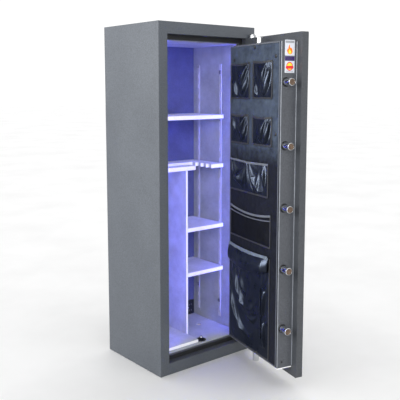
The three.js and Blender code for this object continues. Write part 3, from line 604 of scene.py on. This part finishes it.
# Pockets: each is cut wider and longer than its place and sewn down all round, with the
# mouth gathered on elastic, so the spare cloth stands in a few broad folds.
class Pocket:
    """One pocket. The folds are (start, end, height, reach), with start and end as shares of the
    pocket's width and height."""

    def __init__(self, node_name, material, across, down, mouth, sag, columns, rows, folds=()):
        self.node_name = node_name
        self.material = material
        self.low, self.high = shut_box(node_name)
        self.across, self.down = across, down
        self.mouth, self.sag = mouth, sag
        self.folds = folds
        self.columns, self.rows = columns, rows
        self.width = self.high.x - self.low.x
        self.height = self.high.z - self.low.z
        self.face = panel_face + 0.8 * MM

    def fold(self, u, v, start, end, height, reach):
        """Height of one fold near a spot of the cloth. Its crest runs from start to end, and it
        falls off gently towards the bolt side and steeply on the other."""
        spot = Vector((u * self.width, v * self.height))
        foot = Vector((start[0] * self.width, start[1] * self.height))
        crest = Vector((end[0] * self.width, end[1] * self.height)) - foot
        share = (spot - foot).dot(crest) / crest.length_squared
        along = min(1.0, max(0.0, share))
        beyond = abs(share - along) * crest.length
        gentle = Vector((-abs(crest.y), abs(crest.x) if crest.x * crest.y > 0 else -abs(crest.x)))
        side = (spot - foot).dot(gentle.normalized())
        if side > 0:
            profile = math.cos(0.5 * math.pi * min(1.0, side / (2.6 * reach))) ** 2
        else:
            profile = math.exp(-(side / (0.8 * reach)) ** 2)
        swell = 0.6 + 0.4 * math.sin(math.pi * along)
        return height * swell * profile * math.exp(-(beyond / reach) ** 2)

    def sewn(self, u, v, phase):
        """Where a spot of the cloth starts: u across from the bolt side, v up."""
        rise = math.sin(math.pi * u)
        belly = math.sin(math.pi * min(1.0, 0.12 + 0.88 * v) * 0.72)
        fullness = 0.45 * rise ** 0.7 * ((1 - v) * v * 2.6 + v * self.mouth) * belly
        depth = (self.high.y - self.face) * fullness
        hem = min(1.0, 9 * v) * min(1.0, 12 * u) * min(1.0, 12 * (1 - u))
        for start, end, height, reach in self.folds:
            depth += hem * self.fold(u, v, start, end, height, reach)
        depth += hem * 1.2 * MM * wander(Vector((5.0 * u, 4.0 * v, phase)))
        x = self.low.x + self.width * u
        z = self.low.z + self.height * v - self.sag * 4 * u * (1 - u) * v ** 2
        return Vector((x, self.face + max(0.0, depth), z))

    def build(self):
        """The cloth as it is cut, and the spots where its folds start."""
        spots, flat, faces = [], [], []
        phase = rng.uniform(0, 6)
        for j in range(self.rows + 1):
            for i in range(self.columns + 1):
                u, v = i / self.columns, j / self.rows
                spots.append(self.sewn(u, v, phase))
                flat.append(Vector((self.low.x + self.width * self.across * u, self.face,
                                    self.low.z + self.height * self.down * v)))
        stride = self.columns + 1
        for j in range(self.rows):
            for i in range(self.columns):
                a = j * stride + i
                faces.append((a, a + stride, a + stride + 1, a + 1))
        mesh = bpy.data.meshes.new(self.node_name + "_cloth")
        mesh.from_pydata([tuple(s) for s in flat], [], faces)
        mesh.materials.append(self.material)
        made = bpy.data.objects.new(self.node_name + "_cloth", mesh)
        scene.collection.objects.link(made)
        self.object = made
        self.start = spots
        held = made.vertex_groups.new(name="stitches")
        edge = [j * stride + i for j in range(self.rows + 1) for i in range(stride)
                if j in (0, self.rows) or i in (0, self.columns)]
        held.add(edge, 1.0, "REPLACE")

    def drape(self):
        """Sets the cloth up to fall from its folds, held at the stitches."""
        made = self.object
        basis = made.shape_key_add(name="cut")
        sewn = made.shape_key_add(name="sewn")
        for spot, key in zip(self.start, sewn.data):
            key.co = spot
        sewn.value = 1.0
        cloth = made.modifiers.new("cloth", "CLOTH").settings
        cloth.rest_shape_key = basis
        cloth.vertex_group_mass = "stitches"
        cloth.quality = 7
        cloth.mass = 0.12
        cloth.air_damping = 3
        cloth.tension_stiffness = 12
        cloth.compression_stiffness = 25
        cloth.shear_stiffness = 6
        cloth.bending_stiffness = 6

    def settle(self, use_cloth):
        """Keeps the shape that the cloth fell into, inside the pocket's own depth."""
        made = self.object
        if use_cloth:
            graph = bpy.context.evaluated_depsgraph_get()
            shape = made.evaluated_get(graph).to_mesh()
            spots = [v.co.copy() for v in shape.vertices]
            made.evaluated_get(graph).to_mesh_clear()
            made.modifiers.clear()
            made.shape_key_clear()
        else:
            spots = self.start
        deepest = self.high.y + 4 * MM
        for spot, vertex in zip(spots, made.data.vertices):
            y = min(max(spot.y, self.face), deepest)
            vertex.co = (spot.x, y, max(spot.z, panel_low.z + 4 * MM))
        for polygon in made.data.polygons:
            polygon.use_smooth = True
        made.data.update()
        made.matrix_world = hung
        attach(made, "door")
        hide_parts(self.node_name)
        soft = made.modifiers.new("smooth_cloth", "SUBSURF")
        soft.levels = soft.render_levels = 1
        self.settled = [v.co.copy() for v in made.data.vertices]
        return made

    def row(self, j):
        stride = self.columns + 1
        return self.settled[j * stride:(j + 1) * stride]

    def column(self, i):
        stride = self.columns + 1
        return [self.settled[j * stride + i] for j in range(self.rows + 1)]


pockets = {
    p.node_name: p for p in (
        Pocket("pocket_top_bolt_side", satin, 1.06, 1.03, 0.5, 0.004, 48, 44, [
            ((0.20, 0.95), (0.55, 0.50), 13 * MM, 13 * MM),
            ((0.12, 0.72), (0.46, 0.10), 13 * MM, 12 * MM),
            ((0.90, 0.30), (0.84, 0.06), 7 * MM, 9 * MM)]),
        Pocket("pocket_top_hinge_side", satin, 1.06, 1.03, 0.5, 0.006, 48, 44, [
            ((0.10, 0.90), (0.50, 0.52), 13 * MM, 12 * MM),
            ((0.10, 0.62), (0.44, 0.08), 12 * MM, 12 * MM),
            ((0.82, 0.42), (0.74, 0.06), 9 * MM, 10 * MM)]),
        Pocket("pocket_second_bolt_side", satin, 1.06, 1.03, 0.5, 0.004, 48, 40, [
            ((0.22, 0.94), (0.62, 0.24), 13 * MM, 12 * MM),
            ((0.08, 0.78), (0.40, 0.06), 13 * MM, 12 * MM)]),
        Pocket("pocket_second_hinge_side", satin, 1.06, 1.03, 0.5, 0.004, 48, 40, [
            ((0.12, 0.92), (0.52, 0.52), 12 * MM, 11 * MM),
            ((0.06, 0.66), (0.40, 0.14), 11 * MM, 11 * MM),
            ((0.86, 0.84), (0.82, 0.50), 8 * MM, 10 * MM)]),
        Pocket("pocket_wide", satin, 1.06, 1.04, 0.5, 0.004, 92, 44, [
            ((0.97, 0.86), (0.70, 0.22), 15 * MM, 20 * MM),
            ((0.50, 0.92), (0.78, 0.40), 13 * MM, 16 * MM),
            ((0.46, 0.86), (0.20, 0.10), 16 * MM, 22 * MM),
            ((0.12, 0.90), (0.08, 0.36), 10 * MM, 11 * MM)]),
        Pocket("pocket_mesh", net_cloth, 1.04, 1.04, 0.8, 0.016, 60, 26),
        Pocket("pocket_bag", satin, 1.06, 1.03, 0.6, 0.006, 84, 96, [
            ((0.92, 0.72), (0.66, 0.44), 17 * MM, 17 * MM),
            ((0.66, 0.44), (0.34, 0.40), 16 * MM, 18 * MM),
            ((0.76, 0.72), (0.58, 0.56), 12 * MM, 13 * MM),
            ((0.96, 0.42), (0.70, 0.16), 16 * MM, 16 * MM),
            ((0.74, 0.16), (0.44, 0.13), 12 * MM, 13 * MM),
            ((0.54, 0.34), (0.36, 0.29), 11 * MM, 14 * MM),
            ((0.11, 0.66), (0.13, 0.44), 12 * MM, 7 * MM),
            ((0.13, 0.34), (0.10, 0.12), 12 * MM, 7 * MM)]),
    )
}
for pocket in pockets.values():
    pocket.build()
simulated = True
fall_frames = 24
if simulated:
    for pocket in pockets.values():
        pocket.drape()
    scene.frame_start, scene.frame_end = 1, fall_frames
    for moment in range(1, fall_frames + 1):
        scene.frame_set(moment)
for pocket in pockets.values():
    pocket.settle(simulated)
scene.frame_set(1)


def bind(pocket, name, spots, material, width, lift=0.6 * MM):
    """A folded tape along an edge of a pocket."""
    path = [s + Vector((0, lift, 0)) for s in spots]
    return ribbon(f"{pocket.node_name}_{name}", path, tape_outline(width, 2.2 * MM), material,
                  "door", door=True, slot="velour")


for name, pocket in pockets.items():
    if name != "pocket_bag":
        edging = tape if name in ("pocket_wide", "pocket_mesh") else black_tape
        bind(pocket, "mouth_binding", pocket.row(pocket.rows), edging, 9 * MM)
    if name == "pocket_mesh":
        inner = pocket.row(pocket.rows - 4)
        bind(pocket, "mouth_inner_binding", inner, piping_cloth, 5 * MM)
    for edge, spots in (("bolt_side", pocket.column(0)),
                        ("hinge_side", pocket.column(pocket.columns)),
                        ("bottom", pocket.row(0))):
        bind(pocket, f"{edge}_binding", spots, black_tape, 7 * MM)


def bag_flap():
    """Padded flap folded down over the mouth of the bag pocket, with soft dents across it."""
    pocket = pockets["pocket_bag"]
    mouth = pocket.row(pocket.rows)
    across, around = len(mouth) - 1, 28
    spots, faces = [], []
    for i, spot in enumerate(mouth):
        u = i / across
        end = min(1.0, 7 * u + 0.35, 9 * (1 - u) + 0.35)
        drop = (62 + 22 * math.sin(math.pi * u) + 4 * wander(Vector((5 * u, 0, 31)))) * MM
        for k in range(around):
            angle = 2 * math.pi * k / around
            down = 0.5 - 0.5 * math.cos(angle)
            thick = (5 + 5 * math.sin(math.pi * down)) * MM * end
            dent = 1.6 * MM * wander(Vector((9 * u, 3 * down, 57))) * math.sin(math.pi * down)
            lean = spot.y + 4 * MM + (17 * MM * down ** 0.8 + dent) * end
            y = max(panel_face + 0.5 * MM, lean + thick * math.sin(angle))
            spots.append(Vector((spot.x, y, spot.z + 9 * MM - drop * down)))
    for i in range(across):
        for k in range(around):
            m = (k + 1) % around
            faces.append((i * around + k, i * around + m, (i + 1) * around + m,
                          (i + 1) * around + k))
    faces.append(tuple(reversed(range(around))))
    faces.append(tuple(range(across * around, (across + 1) * around)))
    made = piece("pocket_bag_flap", spots, faces, satin, "door", door=True, slot="satin")
    soft = made.modifiers.new("soft_padding", "SUBSURF")
    soft.levels = soft.render_levels = 1
    # A grey roll along the flap's top; its lighter grey is a painted sheen.
    sheen_roll = [spot + Vector((0, 7 * MM + 0.8 * MM * wander(Vector((40 * spot.x, 0, 3))), 0))
            for spot in mouth[2:-2]]
    ribbon("pocket_bag_flap_sheen_roll", sheen_roll, oval(24 * MM, 9 * MM, 16), painted_sheen_satin, "door",
           door=True, slot="satin")
    return made


bag_flap_piece = bag_flap()


def bag_seam():
    """Gathered seam up the bag pocket: a narrow ruffle with a stitched tape over it."""
    pocket = pockets["pocket_bag"]
    line = pocket.column(round(0.19 * pocket.columns))
    line = line[round(0.17 * pocket.rows):round(0.70 * pocket.rows)]
    ruffle = []
    for i, spot in enumerate(line):
        side = 2.2 * MM * math.sin(1.9 * i + 1.3 * math.sin(0.7 * i))
        lift = 2.6 * MM + 1.4 * MM * math.sin(2.3 * i + 1)
        ruffle.append(spot + Vector((side, lift, 0)))
    made = ribbon("pocket_bag_ruffle", ruffle, tape_outline(9 * MM, 1.4 * MM), satin, "door",
                  door=True, slot="satin")
    ribbon("pocket_bag_seam", [s + Vector((0, 1.2 * MM, 0)) for s in line],
           tape_outline(4 * MM, 1.6 * MM), black_tape, "door", door=True, slot="velour")
    return made


bag_ruffle = bag_seam()

# ---- inside: clips, outlet, screw ---------------------------------------------------------
body_low, body_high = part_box("body_shell")


def clip(name, wall, standard_name, height):
    """Shelf clip hooked into a slot: a bent tab with a short shelf."""
    low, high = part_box(standard_name)
    y = (low.y + high.y) / 2
    inward = 1 if wall == "left" else -1
    x = high.x if wall == "left" else low.x
    half = 5.5 * MM
    for part, near, far, bottom, top in (("back", 0.2, 1.8, -13, 4), ("tab", 1.8, 12, -1.8, -0.3)):
        xs = sorted((x + inward * near * MM, x + inward * far * MM))
        brick(f"{name}_{part}", (xs[0], y - half, height + bottom * MM),
              (xs[1], y + half, height + top * MM), zinc_steel, "safe_body", 0.0004,
              slot="standard")


supports = {"upper_shelf": ("left", "right"), "barrel_rest": ("left", "right"),
            "half_shelf_upper": ("right",), "half_shelf_lower": ("right",)}
for shelf, walls in supports.items():
    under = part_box(shelf)[0].z
    for wall in walls:
        for end in ("front", "rear"):
            clip(f"clip_{shelf}_{wall}_{end}", wall, f"standard_{wall}_{end}", under)
for i, (end, height) in enumerate([("front", 1.310), ("rear", 1.341), ("rear", 0.545),
                                   ("front", 0.200), ("rear", 0.246)]):
    clip(f"spare_clip_{i + 1}", "right", f"standard_right_{end}", height)

outlet_low, outlet_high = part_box("power_outlet")
outlet_middle = (outlet_low + outlet_high) / 2
for i, z in enumerate((outlet_high.z - 20 * MM, outlet_low.z + 20 * MM)):
    for j, x in enumerate((-7 * MM, 7 * MM)):
        spot = (outlet_middle.x + x, outlet_low.y - 0.6 * MM, z)
        brick(f"outlet_slot_{i + 1}_{j + 1}", (spot[0] - 1.2 * MM, spot[1] - 0.2 * MM, z - 4 * MM),
              (spot[0] + 1.2 * MM, spot[1] + 1 * MM, z + 4 * MM), grey_vinyl, "safe_body", 0.0002,
              slot="black_plastic")
turned("outlet_lamp", [(2.6 * MM, 0.2 * MM), (2.6 * MM, -1.2 * MM), (1.4 * MM, -2.2 * MM)],
       (outlet_middle.x - 12 * MM, outlet_low.y, outlet_middle.z), (0, 1, 0), led_glow_dim,
       "safe_body", 24, slot="light")

anchor_x = (body_high.x - body_low.x) / 2 - 124 * MM  # the holes are 124 mm in from the sides
anchor_y = body_low.y + 247 * MM
for i, x in enumerate((-anchor_x, anchor_x)):
    turned(f"anchor_hole_plug_{i + 1}", [(14.6 * MM, 0), (14.6 * MM, 24 * MM), (11 * MM, 26 * MM),
                                         (2 * MM, 25 * MM)],
           (x, anchor_y, 4 * MM), (0, 0, 1), black_plastic, "safe_body", 32,
           slot="black_plastic")

strike_low, strike_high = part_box("bottom_strike")
strike_middle = (strike_low + strike_high) / 2
dome_radius, dome_offset = 8 * MM, 17 * MM
dome = [(dome_radius * math.cos(math.radians(a)), dome_radius * math.sin(math.radians(a)))
        for a in range(0, 86, 8)]
turned("floor_dome_screw", [(7 * MM, -1 * MM)] + dome,
       (strike_middle.x + dome_offset, strike_middle.y + dome_offset, strike_high.z), (0, 0, 1),
       chrome, "safe_body", 40, slot="chrome")

# ---- door: labels, screws, dial marks ------------------------------------------------------
label_narrowing = 0.88  # share of its drawn width that every label has
vinyl_thickness = 0.08 * MM


def sticker(name, outline, material, lift, y0, z0):
    """A flat shape on the bolt side of the pan; outline in millimetres from a corner."""
    x = pan_low.x - lift * MM
    spots = [(x, y0 + label_narrowing * a * MM, z0 + b * MM) for a, b in outline]
    under = [(x + vinyl_thickness, s[1], s[2]) for s in spots]
    n = len(outline)
    faces = [tuple(range(n)), tuple(reversed(range(n, 2 * n)))]
    faces += [(i, i + n, (i + 1) % n + n, (i + 1) % n) for i in range(n)]
    return piece(name, spots + under, faces, material, "door", False, door=True,
                 slot="frame_paint")


def disc(x, z, radius):
    return [(x + a, z + b) for a, b in oval(2 * radius, 2 * radius, 28)]


sticker_y = body_low.y + 41 * MM
fire_z = 1.355
sticker("fire_label", soft_rectangle(0, 51, 0, 60, 2), silver_vinyl, 0.15, sticker_y, fire_z)
sticker("fire_label_band", soft_rectangle(3, 48, 48, 57, 1), grey_vinyl, 0.3, sticker_y,
        fire_z)
flame = [(14, 8), (24, 4), (35, 8), (40, 18), (37, 27), (33, 24), (33, 33), (27, 44), (25, 34),
         (20, 28), (17, 31), (12, 22), (11, 14)]
sticker("fire_label_flame", flame, orange_vinyl, 0.3, sticker_y, fire_z)
core = [(20, 8), (26, 6), (32, 10), (32, 18), (27, 27), (24, 20), (20, 18), (18, 12)]
sticker("fire_label_flame_core", core, yellow_vinyl, 0.45, sticker_y, fire_z)
badge_z = 1.289
sticker("badge_label", soft_rectangle(0, 51, 0, 64, 2), white_vinyl, 0.15, sticker_y,
        badge_z)
sticker("badge_label_band", soft_rectangle(0.5, 50.5, 46, 63.5, 1.5), purple_vinyl, 0.3,
        sticker_y, badge_z)
sticker("badge_label_rim", disc(25.5, 25, 17), red_vinyl, 0.3, sticker_y, badge_z)
sticker("badge_label_field", disc(25.5, 25, 13.5), yellow_vinyl, 0.45, sticker_y, badge_z)
ribbon_band = [(8, 16), (43, 16), (46, 20), (43, 27), (8, 27), (5, 22)]
sticker("badge_label_ribbon", ribbon_band, red_vinyl, 0.6, sticker_y, badge_z)
for i, z in enumerate((3, 6)):
    sticker(f"badge_label_line_{i + 1}", soft_rectangle(8, 43, z, z + 1.4, 0.5), grey_vinyl,
            0.3, sticker_y, badge_z)

turned("pan_screw", [(4.5 * MM, 0), (4.5 * MM, -0.8 * MM), (3.2 * MM, -2.2 * MM),
                     (0.8 * MM, -2.7 * MM)],
       (pan_low.x, pan_high.y - 22 * MM, pan_low.z + 24 * MM), (1, 0, 0), black_plastic, "door",
       28, door=True, slot="black_plastic")

# Bent corners of the sheet steel, in a lighter grey: a painted highlight where they catch the
# lamps.
painted_highlight_coat = surface("powder_coat_painted_highlight", "#7d8188", "#666a71", 0.05, 0.002, 0.00004,
                       (0.22, 0.34))
plate_low, plate_high = shut_box("door_plate")


def bend(name, x, y, radius, bottom, top):
    """A rolled edge in the painted-highlight grey that stops short of the sheet's top and bottom.
    """
    short = 3 * MM
    turned(name, [(radius, 0), (radius, top - bottom - 2 * short)], (x, y, bottom + short),
           (0, 0, 1), painted_highlight_coat, "door", 16, door=True, slot="frame_paint")


bend("pan_corner_bend", pan_low.x + 1.4 * MM, pan_high.y - 1.4 * MM, 2.2 * MM, pan_low.z,
     pan_high.z)
bend("pan_flange_bend", pan_low.x - 0.2 * MM, plate_high.y + 0.6 * MM, 2 * MM, pan_low.z,
     pan_high.z)
bend("plate_edge_bend", plate_low.x + 1.5 * MM, plate_high.y - 1.5 * MM, 1.5 * MM, plate_low.z,
     plate_high.z)

brick("pan_foot_strip", (pan_low.x - 1.5 * MM, pan_low.y + 2 * MM, pan_low.z - 4.2 * MM),
      (pan_low.x + 16 * MM, pan_high.y - 1 * MM, pan_low.z - 0.3 * MM), foot_steel, "door",
      0.0012, door=True, slot="steel")

dial_low, dial_high = shut_box("combination_dial")
dial_centre = Vector(((dial_low.x + dial_high.x) / 2, dial_low.y, (dial_low.z + dial_high.z) / 2))
dial_radius = (dial_high.x - dial_low.x) / 2


def dial_spot(angle, radius, y):
    return Vector((dial_centre.x + radius * math.sin(angle), y,
                   dial_centre.z + radius * math.cos(angle)))


def tick(name, angle, inner, outer, width, y_inner, y_outer):
    """A printed stroke on the dial's sloping rim."""
    side = Vector((math.cos(angle), 0, -math.sin(angle))) * width / 2
    a, b = dial_spot(angle, inner, y_inner), dial_spot(angle, outer, y_outer)
    lift = Vector((0, -0.15 * MM, 0))
    spots = [a - side + lift, a + side + lift, b + side + lift, b - side + lift,
             a - side, a + side, b + side, b - side]
    faces = [(0, 1, 2, 3), (7, 6, 5, 4), (0, 4, 5, 1), (1, 5, 6, 2), (2, 6, 7, 3), (3, 7, 4, 0)]
    return piece(name, spots, faces, dial_white, "dial", False, door=True, slot="dial")


# The marks lie on the cone between the dial's edge and its grip.
divisions = 100
cone_width = 8 * MM
rim_out, rim_in = body_low.y - 8.6 * MM, body_low.y - 13.6 * MM
for i in range(divisions):
    angle = 2 * math.pi * i / divisions
    long_one = i % 10 == 0
    inner = dial_radius - (6.8 if long_one else 4.6 if i % 5 == 0 else 3.4) * MM
    y_inner = rim_out + (rim_in - rim_out) * (dial_radius - inner) / cone_width
    y_outer = rim_out + (rim_in - rim_out) * 0.05
    tick(f"dial_tick_{i}", angle, inner, dial_radius - 0.4 * MM,
         (0.8 if long_one else 0.45) * MM, y_inner, y_outer)

# ---- camera, lights, floor ----------------------------------------------------------------
camera = bpy.data.objects.new("camera", bpy.data.cameras.new("camera"))
scene.collection.objects.link(camera)
camera.location = (-1.8621, -2.4072, 1.2305)
camera.rotation_euler = (math.radians(90 - 7.195), 0, math.radians(-39.45))
camera.data.lens = 59.83
camera.data.sensor_width = 36
camera.data.shift_y = -0.07
scene.camera = camera

reach = 40  # metres of floor each way
floor = bpy.data.meshes.new("studio_floor")
floor.from_pydata([(-reach, -reach, 0), (reach, -reach, 0), (reach, reach, 0),
                   (-reach, reach, 0)], [], [(0, 1, 2, 3)])
floor.materials.append(studio_floor)
floor_object = bpy.data.objects.new("studio_floor", floor)
floor_object.location.z = -0.5 * MM
scene.collection.objects.link(floor_object)


# The lamps light the safe alone; the floor is lit by the white studio round it.
lamps_miss = bpy.data.collections.new("lamps_miss")
lamps_miss.objects.link(floor_object)
lamps_miss.collection_objects[0].light_linking.link_state = "EXCLUDE"


# A lamp of its own brings out the folds of the satin and lights nothing else.
lamp_finds = bpy.data.collections.new("lamp_finds")
satin_pieces = [pocket.object for pocket in pockets.values() if pocket.material is satin]
for cloth in satin_pieces + [bag_flap_piece, bag_ruffle]:
    lamp_finds.objects.link(cloth)


def softbox(name, spot, aim, width, height, power, colour="#ffffff", only=lamps_miss):
    """A rectangular lamp, aimed at a spot, that lights what the collection lets it."""
    lamp = bpy.data.lights.new(name, "AREA")
    lamp.shape = "RECTANGLE"
    lamp.size, lamp.size_y = width, height
    lamp.energy = power
    lamp.color = tone(colour)[:3]
    made = bpy.data.objects.new(name, lamp)
    made.location = spot
    made.rotation_euler = (Vector(aim) - Vector(spot)).to_track_quat("-Z", "Y").to_euler()
    scene.collection.objects.link(made)
    made.light_linking.receiver_collection = only
    return made


softbox("key_softbox", (-3.4, -0.5, 2.0), (0, 0, 0.8), 1.6, 2.2, 100)
softbox("front_softbox", (-1.9, -3.2, 1.9), (0, 0, 0.7), 1.2, 1.8, 66)
softbox("rim_softbox", (-2.7, 1.5, 1.9), (0, -0.4, 0.8), 0.8, 1.8, 34)
cloth_lamp = softbox("cloth_softbox", (-2.4, 1.1, 0.95), (0.1, -0.65, 0.75), 1.0, 1.6, 620,
                     "#e4ecff", lamp_finds)
cloth_lamp.light_linking.blocker_collection = lamp_finds

world = bpy.data.worlds.new("white_studio")
world.use_nodes = True
background = world.node_tree.nodes["Background"]
background.inputs["Color"].default_value = tone("#ffffff")
background.inputs["Strength"].default_value = 1.08
scene.world = world
scene.view_settings.view_transform = "Standard"
